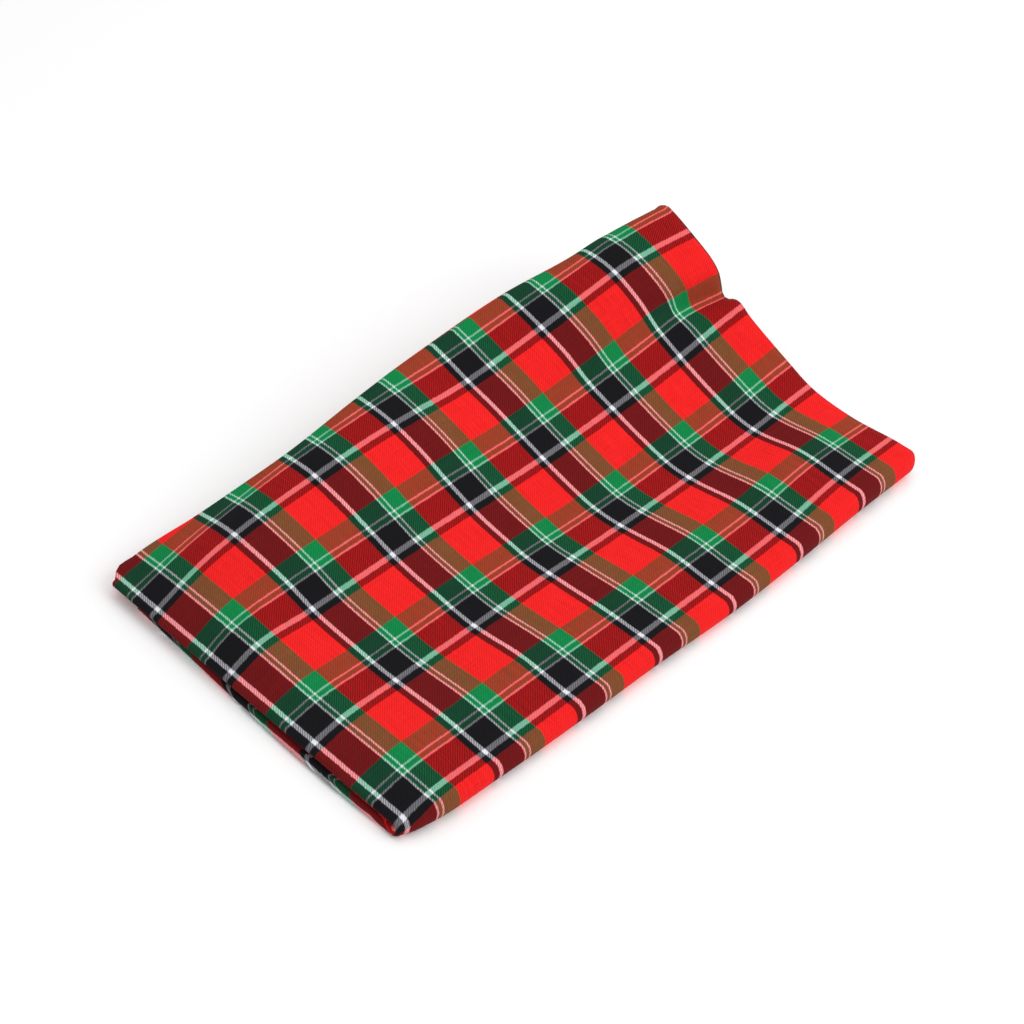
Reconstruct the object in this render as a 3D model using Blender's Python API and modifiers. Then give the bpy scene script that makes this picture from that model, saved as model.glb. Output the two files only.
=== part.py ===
"""A maasai shuka: one woven cloth panel, folded to eight layers and lying on a table.

The panel is folded in half along its width, in half across its length, and in half along its
width once more. The last two folds are the left end and the near edge of the pile, which lie
tight. The right end and the far edge are open, and there the layers rise and part like a fan.

Frame: X runs along the pile from its folded left end to its open right end, Y from its folded
near edge to its open far edge, Z up. The pile stands on Z = 0, centred on X = Y = 0.
Units are metres. The tables give millimetres.
"""
import math

import bmesh
import bpy
import numpy as np

MM = 0.001
CLOTH_THICKNESS = 0.0014
LAYER_PITCH = 0.0026
LAYERS = 8

# The flat distance from the left fold to the top layer's hem at the right end, in millimetres.
# A row is a place along the hem, as its share of the way from near to far edge.
END_ROWS = (
    # across, length
    (0.00, 739),
    (0.50, 740),
    (0.65, 745),
    (0.85, 748),
    (1.00, 755),
)

# The lowest layer's hem lies this far further in, and the layers between lie in turn.
LOWEST_END_IN = 0.010

# How far the left loop of the lower four layers stands out beyond that of the upper four, in
# millimetres. A row is a place along the loop, as its share of the way from near to far edge.
LOOP_ROWS = (
    # across, reach
    (0.00, 3),
    (0.15, 5),
    (0.50, 4),
    (0.80, -1),
    (1.00, -4),
)

# How far the top layer stands above the flat pile, in millimetres. A row is a section across
# the pile, at its distance along from the left fold, in metres. A column is a line along the
# pile, at its flat distance from the base line, which runs just inside the near edge.
RISE_COLUMNS = (0.000, 0.060, 0.117, 0.160, 0.235, 0.275, 0.315, 0.357, 0.410)
RISE_ROWS = (
    # along, near, slack, valley, foot, middle, shoulder, wall, crest, far edge
    (0.000, 0, 0, 0, 0, 0, 0, 0, 0, 0),
    (0.030, 5, 7, 7, 8, 14, 15, 14, 12, 6),
    (0.107, 2, 5, 4, 5, 14, 25, 31, 34, 21),
    (0.214, 4, 6, 2, 5, 16, 28, 40, 49, 44),
    (0.321, 5, 2, 2, 3, 16, 30, 46, 59, 62),
    (0.428, 3, 4, 0, 0, 17, 30, 44, 58, 77),
    (0.535, 6, 5, 1, 5, 25, 39, 60, 78, 94),
    (0.642, 10, 11, 5, 13, 39, 58, 84, 106, 110),
    (0.740, 9, 6, 13, 31, 62, 76, 104, 122, 133),
)

# The outline's unevenness, in millimetres from the base line. A row is a section across the
# pile, at its distance along from the left fold, in metres.
EDGE_ROWS = (
    # along, near edge, upper far edge, lower far edge
    (0.000, -14, 412, 374),
    (0.030, -21, 417, 376),
    (0.107, -26, 412, 380),
    (0.214, -30, 403, 384),
    (0.321, -32, 410, 392),
    (0.428, -36, 415, 398),
    (0.535, -35, 415, 396),
    (0.642, -32, 407, 390),
    (0.740, -31, 404, 384),
)
NEAR_COLUMN = 1
UPPER_FAR_COLUMN = 2
LOWER_FAR_COLUMN = 3

# The share of the top layer's rise that each layer has, from the lowest layer up.
LAYER_SHARES = (0.0, 0.12, 0.25, 0.38, 0.52, 0.67, 0.83, 1.0)

# How finely the grid follows the flat panels and the round folds.
CELLS_ALONG_PANEL = 16
CELLS_ACROSS_PANEL = 14
CELLS_IN_SMALL_FOLD = 4
CELLS_IN_NEAR_FOLD = 6
CROWDING_AT_LEFT_FOLD = 1.25
ARC_STEPS = 48
SLOPE_STEP = 0.002
STEEPEST_CLIMB = 0.95


def clear_scene():
    """Remove the objects of the open scene."""
    for item in list(bpy.data.objects):
        bpy.data.objects.remove(item, do_unlink=True)


def smooth_read(stations, values, at):
    """Read values between their stations, along a smooth curve through them."""
    at = np.clip(at, stations[0], stations[-1])
    values = np.asarray(values, dtype=float)
    if values.ndim == 1:
        values = values.reshape((-1,) + (1,) * at.ndim)
    values = np.broadcast_to(values, (len(stations),) + at.shape)
    slopes = np.gradient(values, stations, axis=0)
    cell = np.clip(np.searchsorted(stations, at, side="right") - 1, 0, len(stations) - 2)
    width = np.diff(stations)[cell]
    part = (at - np.asarray(stations)[cell]) / width

    def pick(array, which):
        return np.take_along_axis(array, which[None], axis=0)[0]

    reading = (1 + 2 * part) * (1 - part) ** 2 * pick(values, cell)
    reading += part**2 * (3 - 2 * part) * pick(values, cell + 1)
    reading += part * (1 - part) ** 2 * width * pick(slopes, cell)
    reading += part**2 * (part - 1) * width * pick(slopes, cell + 1)
    return reading


def top_rise(along, across):
    """Give the top layer's height above the flat pile, at flat distances along and across."""
    along, across = np.broadcast_arrays(along, across)
    rows = np.array(RISE_ROWS)
    sections = [smooth_read(rows[:, 0], rows[:, 1 + k], along) for k in range(len(RISE_COLUMNS))]
    return MM * np.maximum(smooth_read(RISE_COLUMNS, np.stack(sections), across), 0.0)


def climb_along(along, across):
    """Give how steeply the top layer climbs along the pile."""
    change = top_rise(along + SLOPE_STEP, across) - top_rise(along - SLOPE_STEP, across)
    return change / (2 * SLOPE_STEP)


def climb_across(along, across):
    """Give how steeply the top layer climbs across the pile."""
    change = top_rise(along, across + SLOPE_STEP) - top_rise(along, across - SLOPE_STEP)
    return change / (2 * SLOPE_STEP)


def drawn_in(distance, slope_at):
    """Give the level length that a flat distance covers, where the cloth climbs and falls."""
    total = np.zeros_like(distance)
    for step in range(ARC_STEPS):
        slope = slope_at(distance * (step + 0.5) / ARC_STEPS)
        total += np.sqrt(1 - np.clip(slope, -STEEPEST_CLIMB, STEEPEST_CLIMB) ** 2)
    return distance * total / ARC_STEPS


def layer_share(height):
    """Give the share of the rise for a height in the flat pile."""
    return np.interp(height / LAYER_PITCH, range(LAYERS), LAYER_SHARES)


def edge_place(column, along):
    """Give the place across of one of the pile's edges, at distances along."""
    rows = np.array(EDGE_ROWS)
    return MM * smooth_read(rows[:, 0], rows[:, column], along)


def fold_angles(cells):
    """List the angles round a half turn, from straight down to straight up."""
    return [math.radians(-90 + 180 * k / cells) for k in range(cells + 1)]


def rows_of_sheet():
    """List the sheet's lines across, as (share of the way to the right end, left fold's angle)."""
    panel = [(k / CELLS_ALONG_PANEL) ** CROWDING_AT_LEFT_FOLD for k in range(1, CELLS_ALONG_PANEL + 1)]
    lower = [(share, -math.pi / 2) for share in reversed(panel)]
    fold = [(0.0, angle) for angle in fold_angles(CELLS_IN_SMALL_FOLD)]
    upper = [(share, math.pi / 2) for share in panel]
    return lower + fold + upper


def columns_of_sheet():
    """List the sheet's lines along, as (share of the way to the far edge, near angle, far angle).

    The near angle turns from the lower four layers to the upper four, and the far angle from
    the outer of two layers to the inner one.
    """
    panel = [k / CELLS_ACROSS_PANEL for k in range(1, CELLS_ACROSS_PANEL + 1)]
    down, up = -math.pi / 2, math.pi / 2
    columns = [(share, down, down) for share in reversed(panel)]
    columns += [(0.0, angle, down) for angle in fold_angles(CELLS_IN_NEAR_FOLD)]
    columns += [(share, up, down) for share in panel]
    columns += [(1.0, up, angle) for angle in fold_angles(CELLS_IN_SMALL_FOLD)[1:]]
    columns += [(share, up, up) for share in reversed(panel[:-1])]
    columns += [(0.0, angle, up) for angle in reversed(fold_angles(CELLS_IN_NEAR_FOLD))]
    columns += [(share, down, up) for share in panel]
    return columns


def height_in_four(left_angle, far_angle):
    """Give the radius round the left fold, and the height among the four layers it makes."""
    height_in_two = LAYER_PITCH / 2 * (1 + np.sin(far_angle))
    radius = 1.5 * LAYER_PITCH - height_in_two
    return radius, 1.5 * LAYER_PITCH + radius * np.sin(left_angle)


def folded_points(rows, columns):
    """Place the sheet's middle surface, folded, as an array of rows by columns by XYZ."""
    share_along, left_angle = np.array(rows).T[:, :, None]
    share_across, near_angle, far_angle = np.array(columns).T[:, None, :]
    share_along = np.broadcast_to(share_along, (len(rows), len(columns)))

    # Two layers become four round the left fold, and eight round the near fold.
    left_radius, in_four = height_in_four(left_angle, far_angle)
    near_radius = 0.5 * LAYER_PITCH + in_four
    height = 3.5 * LAYER_PITCH + near_radius * np.sin(near_angle)
    share = layer_share(height)
    lower = (1 - np.sin(near_angle)) / 2

    # The flat distance along, to a right end that lies a little askew.
    ends = np.array(END_ROWS)
    length = MM * smooth_read(ends[:, 0], ends[:, 1], share_across) - LOWEST_END_IN * (1 - share)
    along = share_along * length

    # The far fold is as round as the gap between its two layers is wide.
    far_rise = top_rise(along, edge_place(UPPER_FAR_COLUMN, along))
    outer_height = 4 * LAYER_PITCH + height_in_four(left_angle, -math.pi / 2)[1]
    inner_height = 4 * LAYER_PITCH + height_in_four(left_angle, math.pi / 2)[1]
    gap_share = np.abs(layer_share(outer_height) - layer_share(inner_height))
    far_radius = (LAYER_PITCH + gap_share * far_rise) / 2

    # The flat distance across, from the base line.
    near_centre = edge_place(NEAR_COLUMN, along) + 3.5 * LAYER_PITCH + CLOTH_THICKNESS / 2
    upper_end = edge_place(UPPER_FAR_COLUMN, along) - far_radius
    far_end = np.where(near_angle > 0, upper_end, edge_place(LOWER_FAR_COLUMN, along))
    across = near_centre + share_across * (far_end - near_centre)

    # The lower loop stands out at the left.
    loop = np.array(LOOP_ROWS)
    reach_out = MM * smooth_read(loop[:, 0], loop[:, 1], share_across) * lower * (1 - share_along)
    place_along = np.maximum(along - reach_out, 0.0)

    level_along = drawn_in(along, lambda place: share * climb_along(place, across))
    level_across = drawn_in(across, lambda place: share * climb_across(along, place))
    x = level_along - reach_out - left_radius * np.cos(left_angle)
    y = level_across + far_radius * np.cos(far_angle) - near_radius * np.cos(near_angle)
    z = CLOTH_THICKNESS / 2 + height + share * top_rise(place_along, across)
    return np.stack([x, y, z], axis=-1)


def centred(points):
    """Move the points so that their box is centred on X = Y = 0."""
    flat = points.reshape(-1, 3)
    middle = (flat.min(axis=0) + flat.max(axis=0)) / 2
    middle[2] = 0.0
    return points - middle


def cloth_material():
    """Make the plain red of the cloth's ground."""
    material = bpy.data.materials.new("woven_shuka_cloth")
    material.use_nodes = True
    surface = material.node_tree.nodes["Principled BSDF"]
    surface.inputs["Base Color"].default_value = (0.60, 0.05, 0.04, 1.0)
    surface.inputs["Roughness"].default_value = 0.85
    surface.inputs["Metallic"].default_value = 0.0
    return material


def cloth_sheet(collection):
    """Fold a flat grid into the pile, and give it the cloth's thickness."""
    rows = rows_of_sheet()
    columns = columns_of_sheet()
    points = centred(folded_points(rows, columns))
    grid = bmesh.new()
    bmesh.ops.create_grid(grid, x_segments=len(rows) - 1, y_segments=len(columns) - 1, size=0.5)
    for vert in grid.verts:
        row = round((vert.co.x + 0.5) * (len(rows) - 1))
        column = round((vert.co.y + 0.5) * (len(columns) - 1))
        vert.co = points[row, column]
    mesh = bpy.data.meshes.new("shuka_cloth")
    grid.to_mesh(mesh)
    grid.free()
    mesh.shade_smooth()
    mesh.materials.append(cloth_material())
    cloth = bpy.data.objects.new("shuka_cloth", mesh)
    collection.objects.link(cloth)
    thickness = cloth.modifiers.new("Cloth thickness", "SOLIDIFY")
    thickness.thickness = CLOTH_THICKNESS
    thickness.offset = 0.0
    thickness.use_even_offset = True
    return cloth


def main():
    """Build the folded shuka."""
    clear_scene()
    collection = bpy.data.collections.new("maasai_shuka_blanket")
    bpy.context.scene.collection.children.link(collection)
    cloth_sheet(collection)


main()
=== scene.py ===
"""Looks of a folded maasai shuka: one check cloth, woven of red, green, black and white yarn.

The cloth lies folded to eight layers. It is rebuilt here on the folds of its CAD solid, with a
finer grid, rounder folds and the small creases at its open corner.
"""
import itertools
import logging
import math
from collections.abc import Sequence
from dataclasses import dataclass, field
from enum import Enum
from functools import cached_property

import bpy
import numpy as np
from mathutils import Matrix, Vector


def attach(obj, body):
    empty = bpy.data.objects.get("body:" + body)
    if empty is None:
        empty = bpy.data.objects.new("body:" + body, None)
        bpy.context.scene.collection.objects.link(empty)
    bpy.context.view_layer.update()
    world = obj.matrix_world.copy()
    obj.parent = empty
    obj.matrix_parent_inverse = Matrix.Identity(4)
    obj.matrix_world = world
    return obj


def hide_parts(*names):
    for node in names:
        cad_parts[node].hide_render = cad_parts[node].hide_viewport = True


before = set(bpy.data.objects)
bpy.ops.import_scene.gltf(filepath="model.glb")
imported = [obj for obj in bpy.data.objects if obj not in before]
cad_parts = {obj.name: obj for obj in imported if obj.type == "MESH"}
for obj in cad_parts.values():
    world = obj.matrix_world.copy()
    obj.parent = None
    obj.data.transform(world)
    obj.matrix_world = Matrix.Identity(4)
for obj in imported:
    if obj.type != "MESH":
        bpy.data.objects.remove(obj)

logging.basicConfig(level=logging.INFO, format="%(name)s: %(message)s")
LOG = logging.getLogger("shuka")

MM = 0.001
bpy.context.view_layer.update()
# The angles at the top and the bottom of a fold, and how near an angle counts as the same.
UP = math.pi / 2
DOWN = -math.pi / 2
SAME_ANGLE = 1e-6
# The Mix node's sockets for two colours, and for their mixture.
MIX_FROM = 6
MIX_TO = 7
MIX_RESULT = 2
PURE_WHITE = (1.0, 1.0, 1.0, 1.0)

# A table of measures, row by row.
Rows = tuple[tuple[float, ...], ...]


class Way(Enum):
    """The two ways through the sheet, as the axes of its tables."""

    ALONG = 0
    ACROSS = 1


class Yarn(Enum):
    """The dyed yarns of the cloth, as sRGB hex."""

    RED = "#F81616"
    GREEN = "#14884A"
    BLACK = "#19191C"
    WHITE = "#F2F2FA"


def linear_colour(code: str) -> tuple[float, float, float, float]:
    """Turn an sRGB hex colour to linear light.

    Args:
        code: The colour, as in "#RRGGBB".

    Returns:
        Red, green and blue in linear light, and an alpha of one.
    """
    # The numbers are those of the sRGB standard.
    parts = [int(code[k:k + 2], 16) / 255 for k in (1, 3, 5)]
    light = [p / 12.92 if p <= 0.04045 else ((p + 0.055) / 1.055) ** 2.4 for p in parts]
    return (light[0], light[1], light[2], 1.0)


def add_node(
    tree: bpy.types.NodeTree, kind: str, inputs: dict[int | str, object] | None = None, **settings: object
) -> bpy.types.Node:
    """Add a node with its settings and links.

    Args:
        tree: The node tree that gets it.
        kind: The node's type name.
        inputs: A socket to link from, or a value to set, for each input's name or number.
        settings: The node's own properties.

    Returns:
        The new node.
    """
    node = tree.nodes.new(kind)
    for name, value in settings.items():
        setattr(node, name, value)
    for key, value in (inputs or {}).items():
        if isinstance(value, bpy.types.NodeSocket):
            tree.links.new(value, node.inputs[key])
        else:
            node.inputs[key].default_value = value
    return node


def smooth_read(
    stations: Sequence[float] | np.ndarray, values: Sequence[float] | np.ndarray, at: np.ndarray
) -> np.ndarray:
    """Read values between their stations, along a smooth curve through them.

    Args:
        stations: The places where the values are given, in rising order.
        values: One value for each station, or one array of values in the shape of at.
        at: The places to read.

    Returns:
        The values at those places.
    """
    at = np.clip(at, stations[0], stations[-1])
    values = np.asarray(values, dtype=float)
    if values.ndim == 1:
        values = values.reshape((-1,) + (1,) * at.ndim)
    values = np.broadcast_to(values, (len(stations),) + at.shape)
    slopes = np.gradient(values, stations, axis=0)
    cell = np.clip(np.searchsorted(stations, at, side="right") - 1, 0, len(stations) - 2)
    width = np.diff(stations)[cell]
    part = (at - np.asarray(stations)[cell]) / width

    def pick(array: np.ndarray, which: np.ndarray) -> np.ndarray:
        """Take each place's own entry."""
        return np.take_along_axis(array, which[None], axis=0)[0]

    reading = (1 + 2 * part) * (1 - part) ** 2 * pick(values, cell)
    reading += part**2 * (3 - 2 * part) * pick(values, cell + 1)
    reading += part * (1 - part) ** 2 * width * pick(slopes, cell)
    reading += part**2 * (part - 1) * width * pick(slopes, cell + 1)
    return reading


def read_table(table: np.ndarray, *places: np.ndarray) -> np.ndarray:
    """Read a table between its entries, along straight lines.

    Args:
        table: The values, at whole-number places.
        places: The places to read, one array for each way through the table.

    Returns:
        The values at those places.
    """
    sizes = table.shape
    whole = [np.clip(np.floor(place).astype(int), 0, size - 2) for place, size in zip(places, sizes)]
    parts = [np.clip(place - low, 0.0, 1.0) for place, low in zip(places, whole)]
    reading = 0.0
    for corner in itertools.product((0, 1), repeat=table.ndim):
        weight = 1.0
        for part, step in zip(parts, corner):
            weight = weight * (part if step else 1 - part)
        reading = reading + weight * table[tuple(low + step for low, step in zip(whole, corner))]
    return reading


def soft_ridge(distance: np.ndarray, reach: float) -> np.ndarray:
    """Give a round ridge's share of its height.

    Args:
        distance: How far each place is from the ridge's line, in metres.
        reach: The distance at which the ridge has fallen to about a third.

    Returns:
        One on the line, falling smoothly to nothing.
    """
    return np.exp(-(distance / reach) ** 2)


@dataclass(frozen=True)
class Crease:
    """A soft ridge or trough in the cloth, which runs out from one place on the top layer to another.

    Places are flat distances in metres, along from the left fold and across from the base line.
    """

    start: tuple[float, float]
    end: tuple[float, float]
    height_mm: float
    reach: float

    def height_at(self, along: np.ndarray, across: np.ndarray) -> np.ndarray:
        """Give the crease's height at places on the top layer.

        Args:
            along: Flat distances from the left fold.
            across: Flat distances from the base line.

        Returns:
            Heights in metres, falling to nothing at the crease's end.
        """
        run = (self.end[0] - self.start[0], self.end[1] - self.start[1])
        square = run[0] ** 2 + run[1] ** 2
        part = ((along - self.start[0]) * run[0] + (across - self.start[1]) * run[1]) / square
        part = np.clip(part, 0.0, 1.0)
        off_along = along - self.start[0] - part * run[0]
        off_across = across - self.start[1] - part * run[1]
        taper = 1 - part * part * (3 - 2 * part)
        return MM * self.height_mm * taper * soft_ridge(np.hypot(off_along, off_across), self.reach)


@dataclass
class FoldedPile:
    """How the cloth lies: eight layers, tight at two folds, open at the far right corner."""

    # The cloth's thickness, and the height from layer to layer, in metres.
    thickness: float = 0.0014
    pitch: float = 0.0026
    # The flat distance from the left fold to the top layer's hem, in millimetres, at its share
    # of the way from the near edge to the far one.
    end_rows: Rows = (
        # across, length
        (0.00, 739),
        (0.50, 740),
        (0.65, 745),
        (0.85, 748),
        (1.00, 755),
    )
    # The lowest layer's hem lies this far further in, and the layers between lie in turn.
    lowest_end_in: float = 0.010
    # How far the left loop of the lower four layers stands out, in millimetres, at its share
    # of the way from the near edge to the far one.
    loop_rows: Rows = (
        # across, reach
        (0.00, 3),
        (0.15, 5),
        (0.50, 4),
        (0.80, -1),
        (1.00, -4),
    )
    # How far the weave of the lower four layers lies askew of the upper ones at the left, in
    # millimetres, at its share of the way from the near edge to the far one.
    askew_rows: Rows = (
        # across, shift
        (0.00, 1),
        (0.04, 8),
        (0.12, 9.5),
        (0.20, 10.5),
        (0.45, 10.5),
        (0.60, 8.5),
        (1.00, 8),
    )
    # How far the weave of the upper four layers slips outward round the left fold, in metres.
    fold_slip: float = 0.006
    # How far the check's lines along the pile stray to the near side, in millimetres, at
    # distances along. Each column is one line, at its flat distance from the base line.
    stray_columns: tuple[float, ...] = (0.000, 0.118, 0.235, 0.353)
    stray_rows: Rows = (
        # along, near line, second line, third line, far line
        (0.00, 6, 4, 3, 9),
        (0.03, 5, 4, 3, 8),
        (0.10, 3, 1, 1, 3),
        (0.22, 4, -1, 0, 0),
        (0.43, 2, -1, 0, 0),
        (0.54, 1, -1, 0, 0),
        (0.64, -5, -2, -1, -1),
        (0.75, -7, -2, -1, -1),
    )
    # How far its lines across the pile sway to the right, in millimetres, at distances across.
    sway_rows: Rows = (
        # across, shift along most of the pile, shift at the right end
        (-0.04, -1.0, -1.0),
        (0.00, -0.5, -0.5),
        (0.054, 1.5, 1.5),
        (0.098, -2.0, -2.0),
        (0.139, -4.8, -4.8),
        (0.185, -2.3, -2.3),
        (0.230, -0.2, -0.5),
        (0.304, 0.7, 1.0),
        (0.360, -1.0, 6.0),
        (0.404, -4.0, 17.0),
    )
    # In metres along, where the sway that grows from the left fold is full, and where it starts
    # and ends its change to that of the right end.
    sway_places: tuple[float, float, float] = (0.45, 0.69, 0.755)
    # The top layer's height above the flat pile, in millimetres, along lines that run the
    # pile's length at these flat distances from the base line.
    rise_columns: tuple[float, ...] = (0.000, 0.060, 0.117, 0.160, 0.235, 0.275, 0.315, 0.357, 0.410)
    rise_rows: Rows = (
        # along, near, slack, valley, foot, middle, shoulder, wall, crest, far edge
        (0.000, 0, 0, 0, 0, 0, 0, 0, 0, 0),
        (0.030, 5, 7, 7, 8, 14, 15, 14, 12, 6),
        (0.107, 2, 5, 4, 5, 14, 25, 31, 34, 21),
        (0.214, 4, 6, 2, 5, 16, 28, 40, 49, 44),
        (0.321, 5, 2, 2, 3, 16, 30, 46, 59, 62),
        (0.428, 3, 4, 0, 0, 17, 30, 44, 58, 77),
        (0.535, 6, 5, 1, 5, 25, 39, 60, 78, 94),
        (0.642, 10, 11, 5, 13, 39, 58, 84, 106, 110),
        (0.740, 9, 6, 13, 31, 62, 76, 104, 122, 133),
    )
    # The pile's edges, in millimetres from the base line. The first rows blunt the far left
    # corner, which is sharper in the solid.
    edge_rows: Rows = (
        # along, near edge, upper far edge, lower far edge
        (0.000, -12, 407, 372),
        (0.009, -16, 416, 375),
        (0.030, -21, 417, 376),
        (0.107, -26, 412, 380),
        (0.214, -30, 403, 384),
        (0.321, -32, 410, 392),
        (0.428, -36, 415, 398),
        (0.535, -35, 415, 396),
        (0.642, -32, 407, 390),
        (0.740, -31, 404, 384),
    )
    near_column: int = 1
    upper_far_column: int = 2
    lower_far_column: int = 3
    # The share of the top layer's rise that each layer has, from the lowest layer up.
    layer_shares: tuple[float, ...] = (0.0, 0.12, 0.25, 0.38, 0.52, 0.67, 0.83, 1.0)
    # Small creases that the solid leaves out.
    creases: tuple[Crease, ...] = (
        Crease(start=(0.750, 0.268), end=(0.640, 0.285), height_mm=-13.0, reach=0.014),
        Crease(start=(0.750, 0.240), end=(0.660, 0.250), height_mm=4.0, reach=0.012),
    )
    # The lookup of level lengths covers the top layer at this step and as far as this, in metres.
    lookup_step: float = 0.002
    least_across: float = -0.06
    reach_along: float = 0.78
    reach_across: float = 0.45
    # The cloth climbs no more than this for each metre of its length.
    steepest_climb: float = 0.95

    def top_rise(self, along: np.ndarray, across: np.ndarray) -> np.ndarray:
        """Give the top layer's height above the flat pile.

        Args:
            along: Flat distances from the left fold.
            across: Flat distances from the base line.

        Returns:
            Heights in metres.
        """
        along, across = np.broadcast_arrays(along, across)
        rows = np.array(self.rise_rows)
        count = len(self.rise_columns)
        sections = [smooth_read(rows[:, 0], rows[:, 1 + k], along) for k in range(count)]
        return MM * np.maximum(smooth_read(self.rise_columns, np.stack(sections), across), 0.0)

    def layer_share(self, height: np.ndarray) -> np.ndarray:
        """Give the share of the rise for heights in the flat pile."""
        return np.interp(height / self.pitch, range(len(self.layer_shares)), self.layer_shares)

    def edge_place(self, column: int, along: np.ndarray) -> np.ndarray:
        """Give the place across of one of the pile's edges, at distances along."""
        rows = np.array(self.edge_rows)
        return MM * smooth_read(rows[:, 0], rows[:, column], along)

    def height_in_four(
        self, left_angle: np.ndarray, far_angle: np.ndarray
    ) -> tuple[np.ndarray, np.ndarray]:
        """Turn two layers to four, round the left fold.

        Args:
            left_angle: The angle round the left fold, from straight down to straight up.
            far_angle: The angle round the far fold, in the same way.

        Returns:
            The radius round the left fold, and the height among the four layers, in metres.
        """
        height_in_two = self.pitch / 2 * (1 + np.sin(far_angle))
        radius = 1.5 * self.pitch - height_in_two
        return radius, 1.5 * self.pitch + radius * np.sin(left_angle)

    def crease_rise(self, along: np.ndarray, across: np.ndarray) -> np.ndarray:
        """Add up the small creases.

        Args:
            along: Flat distances from the left fold.
            across: Flat distances from the base line.

        Returns:
            The height that they add to the top layer, in metres.
        """
        total = np.zeros(np.broadcast(along, across).shape)
        for crease in self.creases:
            total = total + crease.height_at(along, across)
        return total

    def full_rise(self, along: np.ndarray, across: np.ndarray) -> np.ndarray:
        """Give the top layer's height with its creases, in metres."""
        return np.maximum(self.top_rise(along, across) + self.crease_rise(along, across), 0.0)

    @cached_property
    def shortfalls(self) -> dict[Way, np.ndarray]:
        """Sum up how much shorter the level length of each layer is than its flat one.

        Returns:
            A table for each way, along and across, of layers by distances along and across.
        """
        along = np.arange(0.0, self.reach_along + self.lookup_step, self.lookup_step)
        across = np.arange(self.least_across, self.reach_across + self.lookup_step, self.lookup_step)
        rise = self.full_rise(along[:, None], across[None, :])
        start = round(-self.least_across / self.lookup_step)
        tables = {}
        for way in Way:
            top_slope = np.gradient(rise, self.lookup_step, axis=way.value)
            slopes = np.array(self.layer_shares)[:, None, None] * top_slope
            lost = 1 - np.sqrt(1 - np.clip(slopes, -self.steepest_climb, self.steepest_climb) ** 2)
            total = self.lookup_step * (np.cumsum(lost, axis=1 + way.value) - lost / 2)
            origin = 0 if way is Way.ALONG else start
            tables[way] = total - np.take(total, [origin], axis=1 + way.value)
        return tables

    def drawn_in(self, way: Way, along: np.ndarray, across: np.ndarray, share: np.ndarray) -> np.ndarray:
        """Give the level length that a flat distance covers, where the cloth climbs and falls.

        Args:
            way: The way of the distance.
            along: Flat distances from the left fold.
            across: Flat distances from the base line.
            share: The share of the top layer's rise that each place has.

        Returns:
            Level lengths in metres.
        """
        layer = np.interp(share, self.layer_shares, range(len(self.layer_shares)))
        places = (along / self.lookup_step, (across - self.least_across) / self.lookup_step)
        distance = along if way is Way.ALONG else across
        return distance - read_table(self.shortfalls[way], layer, *places)

    def stray(self, along: np.ndarray, across: np.ndarray) -> np.ndarray:
        """Read how far the check's lines along the pile stray to the near side.

        Args:
            along: Flat distances from the left fold.
            across: Flat distances from the base line.

        Returns:
            Distances in metres.
        """
        rows = np.array(self.stray_rows)
        count = len(self.stray_columns)
        columns = [smooth_read(rows[:, 0], rows[:, 1 + k], along) for k in range(count)]
        return MM * smooth_read(self.stray_columns, np.stack(columns), across)

    def sway(self, along: np.ndarray, across: np.ndarray) -> np.ndarray:
        """Read how far the check's lines across the pile sway to the right.

        Args:
            along: Flat distances from the left fold.
            across: Flat distances from the base line.

        Returns:
            Distances in metres.
        """
        rows = np.array(self.sway_rows)
        full, start, end = self.sway_places
        grown = np.clip(along / full, 0.0, 1.0) * smooth_read(rows[:, 0], rows[:, 1], across)
        at_end = smooth_read(rows[:, 0], rows[:, 2], across)
        return MM * (grown + np.clip((along - start) / (end - start), 0.0, 1.0) * (at_end - grown))

    def folded(self, rows: np.ndarray, columns: np.ndarray) -> dict[str, np.ndarray]:
        """Place the sheet's middle surface, folded, with its flat coordinates.

        Args:
            rows: Lines across the sheet, as share of the way to the right end, left fold's angle.
            columns: Lines along it, as share of the way to the far edge, near angle, far angle.

        Returns:
            The sheet's points, and the weave's flat coordinates.
        """
        share_along, left_angle = rows.T[:, :, None]
        share_across, near_angle, far_angle = columns.T[:, None, :]
        share_along = np.broadcast_to(share_along, (len(rows), len(columns)))

        # Two layers become four round the left fold, and eight round the near fold. Each fold turns
        # about the height half-way up the layers that it makes.
        left_radius, in_four = self.height_in_four(left_angle, far_angle)
        near_radius = 0.5 * self.pitch + in_four
        height = 3.5 * self.pitch + near_radius * np.sin(near_angle)
        share = self.layer_share(height)
        lower = (1 - np.sin(near_angle)) / 2
        ends = np.array(self.end_rows)
        top_length = MM * smooth_read(ends[:, 0], ends[:, 1], share_across)
        along = share_along * (top_length - self.lowest_end_in * (1 - share))

        # The far fold is as round as the gap between its two layers is wide.
        far_rise = self.top_rise(along, self.edge_place(self.upper_far_column, along))
        outer_height = 4 * self.pitch + self.height_in_four(left_angle, DOWN)[1]
        inner_height = 4 * self.pitch + self.height_in_four(left_angle, UP)[1]
        gap_share = np.abs(self.layer_share(outer_height) - self.layer_share(inner_height))
        far_radius = (self.pitch + gap_share * far_rise) / 2

        # The flat distance across, from the base line.
        near_edge = self.edge_place(self.near_column, along)
        near_centre = near_edge + 3.5 * self.pitch + self.thickness / 2
        upper_end = self.edge_place(self.upper_far_column, along) - far_radius
        lower_end = self.edge_place(self.lower_far_column, along)
        far_end = np.where(near_angle > 0, upper_end, lower_end)
        across = near_centre + share_across * (far_end - near_centre)

        # The lower loop stands out at the left.
        loop = np.array(self.loop_rows)
        reach_out = MM * smooth_read(loop[:, 0], loop[:, 1], share_across) * lower * (1 - share_along)
        place_along = np.maximum(along - reach_out, 0.0)

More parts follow.
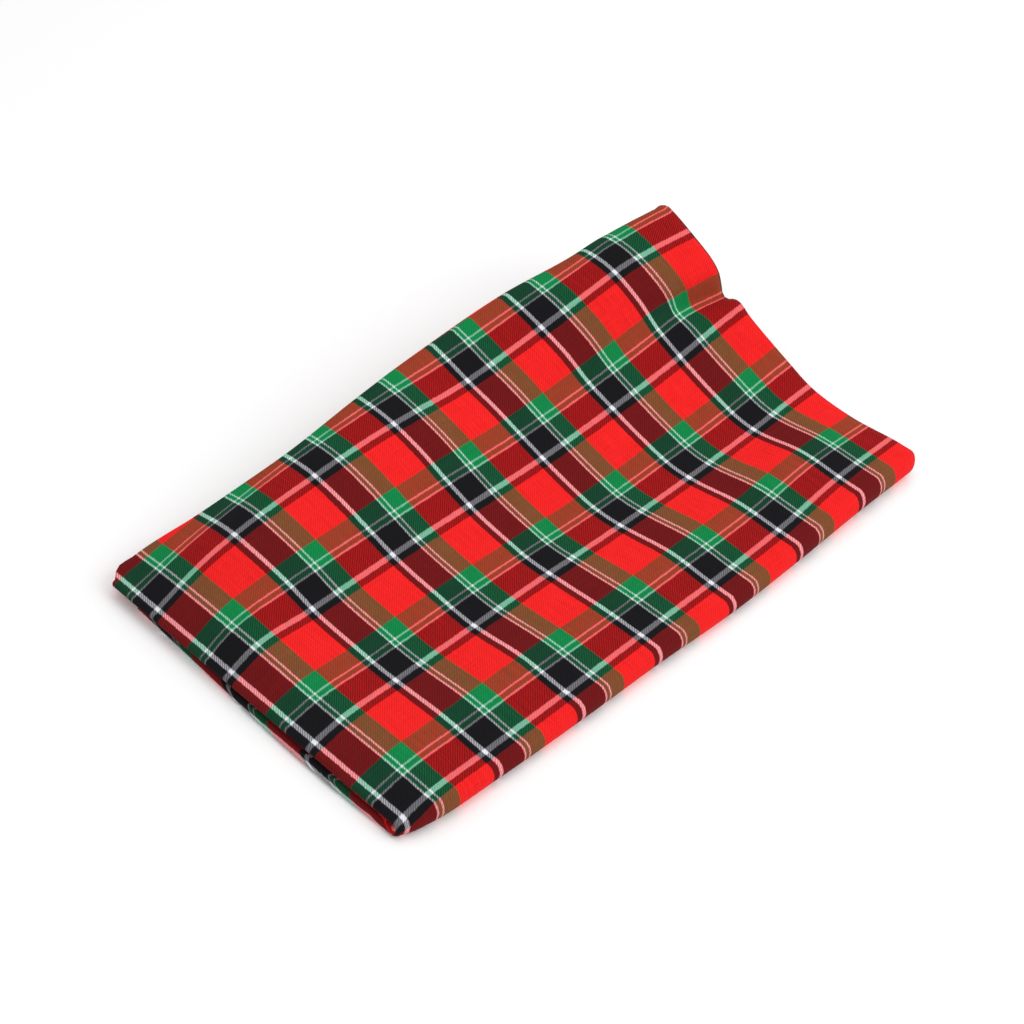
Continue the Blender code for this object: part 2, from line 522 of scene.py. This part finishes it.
        level_along = self.drawn_in(Way.ALONG, along, across, share)
        level_across = self.drawn_in(Way.ACROSS, along, across, share)
        rise = self.full_rise(place_along, across)
        x = level_along - reach_out - left_radius * np.cos(left_angle)
        y = level_across + far_radius * np.cos(far_angle) - near_radius * np.cos(near_angle)
        z = self.thickness / 2 + height + share * rise

        # The weave's own coordinates run on round each fold.
        weave_along = np.where(left_angle > 0, along, -along) - left_radius * (UP - left_angle)
        askew = np.array(self.askew_rows)
        weave_along = weave_along + MM * smooth_read(askew[:, 0], askew[:, 1], share_across) * lower
        weave_along = weave_along + self.fold_slip * (1 - lower) * (1 - np.sin(left_angle)) / 2
        past_centre = across - near_centre
        from_centre = np.where(near_angle > 0, past_centre, -past_centre)
        from_centre = from_centre - near_radius * (UP - near_angle)
        outer = near_centre + from_centre
        inner = 2 * upper_end - near_centre - from_centre + math.pi * far_radius
        round_bend = upper_end + far_radius * (far_angle - DOWN)
        past_bend = np.where(far_angle >= UP - SAME_ANGLE, inner, round_bend)
        weave_across = np.where(far_angle <= DOWN + SAME_ANGLE, outer, past_bend)
        weave_along = weave_along - self.sway(along, across)
        weave_across = weave_across + self.stray(along, across)
        points = np.stack([x, y, z], axis=-1)
        return {"points": points, "weave": np.stack([weave_along, weave_across], axis=-1)}


@dataclass(frozen=True)
class Stripes:
    """The stripes of one set of yarns, from the middle of a thick white stripe to the next one."""

    bands: tuple[tuple[Yarn, float], ...]
    # How far one colour's fibres reach into the next, in millimetres.
    blur_mm: float = 0.9

    @property
    def repeat(self) -> float:
        """Add up the stripes, in metres."""
        return MM * sum(width for _, width in self.bands)

    def ramp(self, tree: bpy.types.NodeTree, phase: bpy.types.NodeSocket) -> bpy.types.NodeSocket:
        """Colour the yarns from their place in the repeat.

        Args:
            tree: The node tree that gets the ramp.
            phase: The place in the repeat, from nought to one.

        Returns:
            The socket of the yarns' colour.
        """
        node = add_node(tree, "ShaderNodeValToRGB", {"Fac": phase})
        stops = node.color_ramp.elements
        stops[0].color = linear_colour(self.bands[0][0].value)
        stops[1].color = linear_colour(self.bands[-1][0].value)
        place = 0.0
        for (yarn, width), (next_yarn, _) in zip(self.bands[:-1], self.bands[1:]):
            place += width
            for side, shown in ((-0.5, yarn), (0.5, next_yarn)):
                stop = stops.new(MM * (place + side * self.blur_mm) / self.repeat)
                stop.color = linear_colour(shown.value)
        return node.outputs["Color"]


@dataclass(frozen=True)
class WovenTwill:
    """Acrylic twill, woven of dyed yarn and lightly brushed.

    Where two colours cross they mix, rib by rib, with the yarns that run across the pile a
    little ahead.
    """

    # The stripes' widths are in millimetres.
    crosswise: Stripes = Stripes(
        bands=(
            (Yarn.WHITE, 2.1),
            (Yarn.BLACK, 27.2),
            (Yarn.WHITE, 1.9),
            (Yarn.GREEN, 4.1),
            (Yarn.WHITE, 1.8),
            (Yarn.GREEN, 18.4),
            (Yarn.RED, 42.5),
            (Yarn.BLACK, 6.9),
            (Yarn.WHITE, 2.1),
        )
    )
    lengthwise: Stripes = Stripes(
        bands=(
            (Yarn.WHITE, 2.9),
            (Yarn.BLACK, 27.3),
            (Yarn.WHITE, 1.9),
            (Yarn.GREEN, 5.5),
            (Yarn.WHITE, 1.9),
            (Yarn.GREEN, 19.5),
            (Yarn.RED, 48.1),
            (Yarn.BLACK, 7.7),
            (Yarn.WHITE, 2.9),
        )
    )
    # The middle of one thick white stripe of the crosswise yarns is this far along, in metres.
    first_line_along: float = 0.0045
    # A real yarn of this cloth is 0.4 mm wide, and a rib 1 mm. They are drawn two and three
    # times as coarse, so that they show at the size of the picture.
    yarn_width: float = 0.0008
    rib_width: float = 0.0031
    # How much of the surface the crosswise yarns take. The green yarn is thinner than the rest,
    # so less of it shows.
    crosswise_share: float = 0.59
    green_crosswise: float = -0.09
    green_lengthwise: float = 0.02
    # From where to where green must lead red for a yarn to count as green.
    green_lead: tuple[float, float] = (0.15, 0.35)
    # How much more of the crosswise yarns shows on a rib, and less between two ribs.
    rib_contrast: float = 0.13
    # Painted shade where the yarns cross: they shade each other there, so their mixture is painted
    #     # darker than that of their light. This power of linear light is what mixes evenly.
    crossing_shade_gamma: float = 2.6
    # How much lighter or darker than the rest a rib and a yarn can be: a rib by painted light on its
    # crest and painted shade in its furrow, a yarn by its own tone.
    rib_painted_shade: float = 0.05
    yarn_shade: float = 0.16
    # A yarn's lightness changes over this many of its widths.
    shade_run: float = 40
    shade_detail: float = 1.0
    # How far a yarn strays from its straight line, and over what length, in metres.
    waver: float = 0.0009
    waver_length: float = 0.0035
    waver_detail: float = 3.0
    # How deep it is between two ribs, in metres, and how strongly that shows.
    rib_depth: float = 0.00025
    rib_strength: float = 0.5
    # How wide and how deep the small crumples are, in metres, and how rough.
    crumple_size: float = 0.030
    crumple_depth: float = 0.0016
    crumple_detail: float = 3.0
    crumple_roughness: float = 0.45
    # From where to where red must lead green for the red to be painted paler, as a painted sheen of
    # brushed yarn catching the light, and by how much.
    red_lead: tuple[float, float] = (0.60, 0.90)
    painted_sheen: float = 0.10
    roughness: float = 0.9
    specular: float = 0.04
    sheen: float = 0.02
    sheen_roughness: float = 0.5

    def yarn_tone(
        self, tree: bpy.types.NodeTree, weave: bpy.types.NodeSocket, runs_across: bool
    ) -> bpy.types.NodeSocket:
        """Give each yarn its own lightness, which changes slowly along it.

        Args:
            tree: The node tree that gets the nodes.
            weave: The weave's flat coordinates.
            runs_across: Whether the yarns run across the pile, or along it.

        Returns:
            The socket of the lightness, which is one on average.
        """
        fine, long = 1 / self.yarn_width, 1 / (self.shade_run * self.yarn_width)
        scale = (fine, long, 1.0) if runs_across else (long, fine, 1.0)
        places = add_node(tree, "ShaderNodeVectorMath", {0: weave, 1: scale}, operation="MULTIPLY")
        size = {"Vector": places.outputs[0], "Scale": 1.0, "Detail": self.shade_detail}
        noise = add_node(tree, "ShaderNodeTexNoise", size)
        factors = {0: noise.outputs["Fac"], 1: 2 * self.yarn_shade, 2: 1 - self.yarn_shade}
        return add_node(tree, "ShaderNodeMath", factors, operation="MULTIPLY_ADD").outputs[0]

    def yarn_colour(
        self,
        tree: bpy.types.NodeTree,
        stripes: Stripes,
        place: bpy.types.NodeSocket,
        tone: bpy.types.NodeSocket,
    ) -> bpy.types.NodeSocket:
        """Colour one set of yarns.

        Args:
            tree: The node tree that gets the nodes.
            stripes: The stripes of the set.
            place: The place across the yarns, in metres.
            tone: The lightness of each yarn.

        Returns:
            The socket of the colour, as the eye reads it and not in linear light.
        """
        turns = add_node(tree, "ShaderNodeMath", {0: place, 1: 1 / stripes.repeat}, operation="MULTIPLY")
        phase = add_node(tree, "ShaderNodeMath", {0: turns.outputs[0]}, operation="FRACT")
        linear = stripes.ramp(tree, phase.outputs[0])
        # Raised to this power, two colours mix darker: painted shade where the yarns cross.
        seen = add_node(tree, "ShaderNodeGamma", {"Color": linear, "Gamma": 1 / self.crossing_shade_gamma})
        lit = {0: seen.outputs[0], "Scale": tone}
        return add_node(tree, "ShaderNodeVectorMath", lit, operation="SCALE").outputs[0]

    def green_bias(
        self, tree: bpy.types.NodeTree, colour: bpy.types.NodeSocket, bias: float
    ) -> bpy.types.NodeSocket:
        """Find where a set of yarns is green.

        Args:
            tree: The node tree that gets the nodes.
            colour: The colour of the set.
            bias: What to add to the crosswise yarns' share there.

        Returns:
            The socket of that number, which is nought where the set has another colour.
        """
        parts = add_node(tree, "ShaderNodeSeparateColor", {0: colour})
        lead = {0: parts.outputs["Green"], 1: parts.outputs["Red"]}
        greenness = add_node(tree, "ShaderNodeMath", lead, operation="SUBTRACT")
        steps = {0: greenness.outputs[0], 1: self.green_lead[0], 2: self.green_lead[1], 3: 0.0, 4: bias}
        return add_node(tree, "ShaderNodeMapRange", steps, clamp=True).outputs[0]

    def make(self) -> bpy.types.Material:
        """Make the cloth's material.

        Returns:
            The material, which reads the weave's flat coordinates from the piece.
        """
        material = bpy.data.materials.new("woven_shuka_twill")
        material.use_nodes = True
        tree = material.node_tree
        tree.nodes.clear()
        weave = add_node(tree, "ShaderNodeUVMap", uv_map="weave").outputs["UV"]

        # No yarn is quite straight.
        size = {"Vector": weave, "Scale": 1 / self.waver_length, "Detail": self.waver_detail}
        waver = add_node(tree, "ShaderNodeTexNoise", size)
        spread = {0: waver.outputs["Color"], 1: (2 * self.waver,) * 3, 2: (-self.waver,) * 3}
        offset = add_node(tree, "ShaderNodeVectorMath", spread, operation="MULTIPLY_ADD")
        drawn = add_node(tree, "ShaderNodeVectorMath", {0: weave, 1: offset.outputs[0]}, operation="ADD")
        apart = add_node(tree, "ShaderNodeSeparateXYZ", {0: drawn.outputs[0]})
        along, across = apart.outputs["X"], apart.outputs["Y"]

        # Two sets of yarn, each dyed in stripes.
        crosswise = self.yarn_colour(tree, self.crosswise, along, self.yarn_tone(tree, weave, True))
        lengthwise = self.yarn_colour(tree, self.lengthwise, across, self.yarn_tone(tree, weave, False))

        # The diagonal ribs carry now one set and now the other.
        slant = add_node(tree, "ShaderNodeMath", {0: along, 1: across}, operation="SUBTRACT").outputs[0]
        turns = {0: slant, 1: math.tau / self.rib_width}
        angle = add_node(tree, "ShaderNodeMath", turns, operation="MULTIPLY")
        rib = add_node(tree, "ShaderNodeMath", {0: angle.outputs[0]}, operation="SINE").outputs[0]
        ribbed = {0: rib, 1: self.rib_contrast, 2: self.crosswise_share}
        share = add_node(tree, "ShaderNodeMath", ribbed, operation="MULTIPLY_ADD").outputs[0]
        for colour, bias in ((crosswise, self.green_crosswise), (lengthwise, self.green_lengthwise)):
            green = self.green_bias(tree, colour, bias)
            share = add_node(tree, "ShaderNodeMath", {0: share, 1: green}, operation="ADD").outputs[0]
        sets = {0: share, MIX_FROM: lengthwise, MIX_TO: crosswise}
        mixed = add_node(tree, "ShaderNodeMix", sets, data_type="RGBA").outputs[MIX_RESULT]

        # Painted sheen: where both sets are red, the red is painted a little paler toward white, as
        # brushed yarn catching the light.
        seen = add_node(tree, "ShaderNodeSeparateColor", {0: mixed})
        lead = {0: seen.outputs["Red"], 1: seen.outputs["Green"]}
        redness = add_node(tree, "ShaderNodeMath", lead, operation="SUBTRACT").outputs[0]
        steps = {0: redness, 1: self.red_lead[0], 2: self.red_lead[1], 3: 0.0, 4: self.painted_sheen}
        plain = add_node(tree, "ShaderNodeMapRange", steps, clamp=True).outputs[0]
        sheen_inputs = {0: plain, MIX_FROM: mixed, MIX_TO: PURE_WHITE}
        paled = add_node(tree, "ShaderNodeMix", sheen_inputs, data_type="RGBA").outputs[MIX_RESULT]
        # Painted light and shade: each rib's crest is painted lighter and the furrow beside it darker.
        shade = {0: rib, 1: self.rib_painted_shade, 2: 1 - self.rib_painted_shade}
        tone = add_node(tree, "ShaderNodeMath", shade, operation="MULTIPLY_ADD").outputs[0]
        shaded = add_node(tree, "ShaderNodeVectorMath", {0: paled, "Scale": tone}, operation="SCALE")
        # Back to linear light, with the painted shade of the crossings in the mixture.
        seen = {"Color": shaded.outputs[0], "Gamma": self.crossing_shade_gamma}
        dyed = add_node(tree, "ShaderNodeGamma", seen).outputs[0]

        # The ribs stand out a little, and the cloth is softly crumpled. Brushed acrylic yarn gives
        # the eye a matt face, a little soft at its edges, with no gloss.
        relief = {"Height": rib, "Distance": self.rib_depth / 2, "Strength": self.rib_strength}
        ribs = add_node(tree, "ShaderNodeBump", relief).outputs[0]
        size = {
            "Vector": weave,
            "Scale": 1 / self.crumple_size,
            "Detail": self.crumple_detail,
            "Roughness": self.crumple_roughness,
        }
        crumple = add_node(tree, "ShaderNodeTexNoise", size).outputs["Fac"]
        relief = {"Height": crumple, "Distance": self.crumple_depth, "Strength": 1.0, "Normal": ribs}
        normal = add_node(tree, "ShaderNodeBump", relief).outputs[0]
        face = {
            "Base Color": dyed,
            "Roughness": self.roughness,
            "Specular IOR Level": self.specular,
            "Sheen Weight": self.sheen,
            "Sheen Roughness": self.sheen_roughness,
            "Normal": normal,
        }
        surface = add_node(tree, "ShaderNodeBsdfPrincipled", face)
        add_node(tree, "ShaderNodeOutputMaterial", {"Surface": surface.outputs[0]})
        return material


@dataclass
class ShukaCloth:
    """The blanket itself: one panel on the folds of the pile."""

    pile: FoldedPile = field(default_factory=FoldedPile)
    finish: WovenTwill = field(default_factory=WovenTwill)
    flat_size: tuple[float, float] = (1.5, 1.73)
    shown_cells_along: int = 104
    hidden_cells_along: int = 50
    shown_cells_across: int = 60
    hidden_cells_across: int = 30
    cells_in_left_fold: int = 10
    cells_in_far_fold: int = 8
    cells_in_near_fold: int = 12

    def rows(self) -> np.ndarray:
        """List the sheet's lines across, from the lower right end round the left fold to the upper.

        Returns:
            For each line, its share of the way to the right end and its angle round the left fold.
        """
        lower = [(1 - k / self.hidden_cells_along, DOWN) for k in range(self.hidden_cells_along)]
        cells = self.cells_in_left_fold
        fold = [(0.0, DOWN + math.pi * k / cells) for k in range(cells + 1)]
        upper = [((k + 1) / self.shown_cells_along, UP) for k in range(self.shown_cells_along)]
        return np.array(lower + fold + upper)

    def columns(self) -> np.ndarray:
        """List the sheet's lines along, from one selvedge to the other.

        Returns:
            For each line, its share of the way to the far edge and its angles round the near fold
            and the far fold.
        """
        near = [DOWN + math.pi * k / self.cells_in_near_fold for k in range(self.cells_in_near_fold + 1)]
        far = [DOWN + math.pi * k / self.cells_in_far_fold for k in range(1, self.cells_in_far_fold + 1)]
        shown = [(k + 1) / self.shown_cells_across for k in range(self.shown_cells_across)]
        hidden = [(k + 1) / self.hidden_cells_across for k in range(self.hidden_cells_across)]
        listed = [(share, DOWN, DOWN) for share in reversed(hidden)]
        listed += [(0.0, angle, DOWN) for angle in near]
        listed += [(share, UP, DOWN) for share in shown]
        listed += [(1.0, UP, angle) for angle in far]
        listed += [(share, UP, UP) for share in reversed(hidden[:-1])]
        listed += [(0.0, angle, UP) for angle in reversed(near)]
        listed += [(share, DOWN, UP) for share in hidden]
        return np.array(listed)

    def build(self) -> bpy.types.Object:
        """Build the folded cloth.

        Returns:
            The cloth, with its thickness, flat coordinates and material.
        """
        sheet = self.pile.folded(self.rows(), self.columns())
        points, weave = sheet["points"], sheet["weave"]
        count, width = points.shape[:2]
        flat = points.reshape(-1, 3)
        middle = (flat.min(axis=0) + flat.max(axis=0)) / 2
        flat = flat - (middle[0], middle[1], 0.0)
        LOG.info("middle of the pile: %.5f %.5f", middle[0], middle[1])
        corner = np.arange(count * width).reshape(count, width)
        sides = [corner[:-1, :-1], corner[1:, :-1], corner[1:, 1:], corner[:-1, 1:]]
        faces = np.stack(sides, axis=-1).reshape(-1, 4)
        mesh = bpy.data.meshes.new("shuka_blanket")
        mesh.from_pydata(flat.tolist(), [], faces.tolist())
        layer = mesh.uv_layers.new(name="weave")
        shifted = weave.reshape(-1, 2) - (self.finish.first_line_along, 0.0)
        layer.data.foreach_set("uv", shifted[faces.ravel()].astype(np.float32).ravel())
        mesh.shade_smooth()
        mesh.materials.append(self.finish.make())
        cloth = bpy.data.objects.new("shuka_blanket", mesh)
        bpy.context.scene.collection.objects.link(cloth)
        thickness = cloth.modifiers.new("Cloth thickness", "SOLIDIFY")
        thickness.thickness = self.pile.thickness
        thickness.offset = 0.0
        thickness.use_even_offset = True
        bpy.context.view_layer.update()
        return cloth

    def dress(self, cloth: bpy.types.Object) -> None:
        """Tie the cloth to its solid, and hide the solid.

        Args:
            cloth: The blanket.
        """
        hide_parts("shuka_cloth")
        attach(cloth, "root")


@dataclass(frozen=True)
class Softbox:
    """A soft square lamp that faces the pile."""

    name: str
    # Its place and the length of its sides are in metres, with the pile at the origin.
    place: tuple[float, float, float]
    side: float
    watts: float


@dataclass
class Studio:
    """A pale floor, soft light from all round, and the camera."""

    floor_size: float = 14.0
    floor_colour: str = "#FDFDFD"
    floor_roughness: float = 0.9
    floor_specular: float = 0.1
    sky_strength: float = 0.70
    softboxes: tuple[Softbox, ...] = (
        Softbox(name="front_softbox", place=(0.9, -2.3, 2.4), side=2.2, watts=37.0),
        Softbox(name="overhead_softbox", place=(0.6, 0.4, 3.0), side=2.4, watts=24.0),
    )
    camera_place: tuple[float, float, float] = (-1.17771, -1.04992, 1.51630)
    # Where the camera looks, in degrees, and its turn about that line.
    azimuth: float = 42.417
    elevation: float = 43.412
    roll: float = -3.462
    # The lens and the sensor's width are in millimetres.
    lens: float = 73.83
    sensor_width: float = 36.0
    nearest: float = 0.05
    farthest: float = 50.0

    def floor(self) -> bpy.types.Object:
        """Lay the floor.

        Returns:
            The floor.
        """
        half = self.floor_size / 2
        mesh = bpy.data.meshes.new("floor")
        corners = [(-half, -half, 0), (half, -half, 0), (half, half, 0), (-half, half, 0)]
        mesh.from_pydata(corners, [], [(0, 1, 2, 3)])
        # White board, painted matt: an even pale ground that takes soft shadows.
        material = bpy.data.materials.new("painted_floor")
        material.use_nodes = True
        surface = material.node_tree.nodes["Principled BSDF"]
        surface.inputs["Base Color"].default_value = linear_colour(self.floor_colour)
        surface.inputs["Roughness"].default_value = self.floor_roughness
        surface.inputs["Specular IOR Level"].default_value = self.floor_specular
        mesh.materials.append(material)
        floor = bpy.data.objects.new("floor", mesh)
        bpy.context.scene.collection.objects.link(floor)
        return floor

    def hang(self, softbox: Softbox) -> None:
        """Hang one lamp.

        Args:
            softbox: The lamp to hang.
        """
        data = bpy.data.lights.new(softbox.name, "AREA")
        data.shape = "SQUARE"
        data.size = softbox.side
        data.energy = softbox.watts
        lamp = bpy.data.objects.new(softbox.name, data)
        lamp.location = softbox.place
        lamp.rotation_mode = "QUATERNION"
        lamp.rotation_quaternion = (-Vector(softbox.place)).to_track_quat("-Z", "Y")
        bpy.context.scene.collection.objects.link(lamp)

    def light(self) -> None:
        """Light the room evenly, a little brighter from above and from the near edge's side."""
        bpy.context.scene.view_settings.view_transform = "Standard"
        world = bpy.data.worlds.new("studio")
        world.use_nodes = True
        sky = world.node_tree.nodes["Background"]
        sky.inputs["Color"].default_value = PURE_WHITE
        sky.inputs["Strength"].default_value = self.sky_strength
        bpy.context.scene.world = world
        for softbox in self.softboxes:
            self.hang(softbox)

    def camera(self) -> None:
        """Set the camera where it looks down on the near left corner."""
        azimuth, elevation, roll = (math.radians(a) for a in (self.azimuth, self.elevation, self.roll))
        level = math.cos(elevation)
        ahead = Vector((math.cos(azimuth) * level, math.sin(azimuth) * level, -math.sin(elevation)))
        right = ahead.cross(Vector((0, 0, 1))).normalized()
        down = ahead.cross(right)
        rolled_right = math.cos(roll) * right + math.sin(roll) * down
        rolled_down = math.cos(roll) * down - math.sin(roll) * right
        data = bpy.data.cameras.new("camera")
        data.lens = self.lens
        data.sensor_width = self.sensor_width
        data.clip_start = self.nearest
        data.clip_end = self.farthest
        camera = bpy.data.objects.new("camera", data)
        axes = Matrix((rolled_right, -rolled_down, -ahead)).transposed()
        camera.matrix_world = Matrix.Translation(self.camera_place) @ axes.to_4x4()
        bpy.context.scene.collection.objects.link(camera)
        bpy.context.scene.camera = camera


def main() -> None:
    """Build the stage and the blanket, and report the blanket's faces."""
    studio = Studio()
    studio.camera()
    studio.light()
    floor = studio.floor()
    blanket = ShukaCloth()
    cloth = blanket.build()
    blanket.dress(cloth)
    LOG.info("%s: %d faces", cloth.name, len(cloth.data.polygons))


if __name__ == "__main__":
    main()
